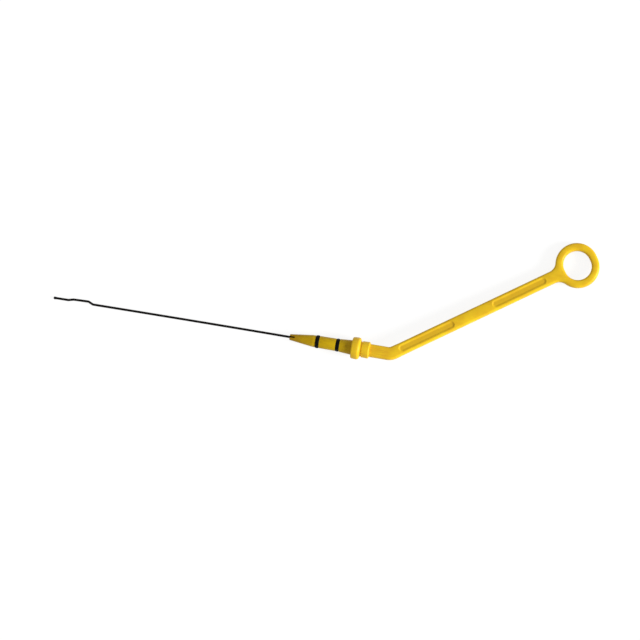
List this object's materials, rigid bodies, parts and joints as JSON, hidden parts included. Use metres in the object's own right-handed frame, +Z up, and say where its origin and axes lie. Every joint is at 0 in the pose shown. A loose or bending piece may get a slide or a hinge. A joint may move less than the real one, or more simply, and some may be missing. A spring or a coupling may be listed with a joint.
{
  "type": "engine oil dipstick",
  "caption": "Engine oil dipstick: yellow plastic handle with a finger ring and a bent arm, tapered plug with rubber seals, and a thin steel wire with a joggle for the level marks.",
  "frame": {"origin": "centre of the flange's seating face, on the plug's axis", "axes": "+X along the plug's axis from the seat to the handle as it lies, +Z up from the surface it lies on, +Y towards the side that the arm bends to"},
  "size_m": [0.4915, 0.1402, 0.0206],
  "materials": {
    "handle_plastic": "fine moulded texture, yellow",
    "plug_plastic": "smooth moulded, ochre yellow, oil stained",
    "wire": "dark drawn steel with a film of oil",
    "seal_rubber": "black nitrile rubber, satin"
  },
  "bodies": {
    "root": {"handle": "handle_plastic", "plug": "plug_plastic", "rod": "wire", "front_seal": "seal_rubber", "rear_seal": "seal_rubber"}
  },
  "joints": []
}
